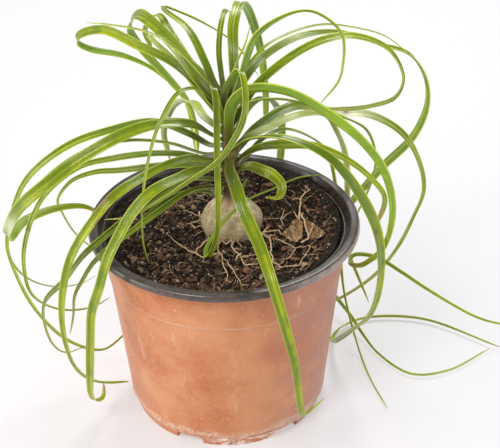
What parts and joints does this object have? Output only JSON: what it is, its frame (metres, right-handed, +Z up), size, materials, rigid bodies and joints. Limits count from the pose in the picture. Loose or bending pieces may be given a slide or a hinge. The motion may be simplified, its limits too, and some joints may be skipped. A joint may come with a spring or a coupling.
{
  "type": "potted ponytail palm",
  "caption": "Young ponytail palm with a round swollen foot, a thin stem and long strap leaves that arch and trail, in a round nursery pot",
  "frame": {"origin": "the middle of the pot's underside, on the surface it stands on", "axes": "+Z up; -Y is the side seen in the picture"},
  "size_m": [0.2567, 0.1738, 0.2022],
  "materials": {
    "terracotta_plastic": "matte, scuffed, with pale limescale at the foot",
    "dark_plastic": "satin",
    "potting_soil": "loose crumbs",
    "caudex_bark": "rough bark",
    "stem_skin": "smooth",
    "root_skin": "matte",
    "dry_scale": "dry and papery",
    "leaf_blade": "waxy, ribbed along its length"
  },
  "bodies": {
    "root": {"pot_outer_wall": "terracotta_plastic", "pot_inner_wall_and_rim": "dark_plastic", "soil": "potting_soil", "caudex_and_stem": "caudex_bark", "side_shoot": "stem_skin", "roots_left": "root_skin", "roots_front": "root_skin", "roots_front_right": "root_skin", "roots_right": "root_skin", "dry_scale_left": "dry_scale", "dry_scale_right": "dry_scale", "leaf_top_left_1": "leaf_blade", "leaf_top_left_2": "leaf_blade", "leaf_top_left_3": "leaf_blade", "leaf_top_left_4": "leaf_blade", "leaf_top_left_5": "leaf_blade", "leaf_top_left_6": "leaf_blade", "leaf_top_middle_1": "leaf_blade", "leaf_top_middle_2": "leaf_blade", "leaf_top_middle_3": "leaf_blade", "leaf_top_right_1": "leaf_blade", "leaf_top_right_2": "leaf_blade", "leaf_top_right_3": "leaf_blade", "leaf_top_right_4": "leaf_blade", "leaf_bright_arch": "leaf_blade", "leaf_front_folded": "leaf_blade", "leaf_front_thin": "leaf_blade", "leaf_left_hanging": "leaf_blade", "leaf_back_left": "leaf_blade", "leaf_back_arch": "leaf_blade", "leaf_back_right_1": "leaf_blade", "leaf_back_right_2": "leaf_blade", "leaf_back_right_3": "leaf_blade", "leaf_back_right_4": "leaf_blade", "leaf_right_wide": "leaf_blade", "leaf_right_short": "leaf_blade", "leaf_right_curled": "leaf_blade", "leaf_front_long": "leaf_blade", "leaf_left_wide": "leaf_blade", "leaf_left_long": "leaf_blade", "leaf_left_thin": "leaf_blade", "leaf_left_back_1": "leaf_blade", "leaf_left_back_2": "leaf_blade", "leaf_left_front_1": "leaf_blade", "leaf_left_front_2": "leaf_blade", "leaf_left_low_1": "leaf_blade", "leaf_left_low_2": "leaf_blade", "leaf_left_low_3": "leaf_blade"}
  },
  "joints": []
}
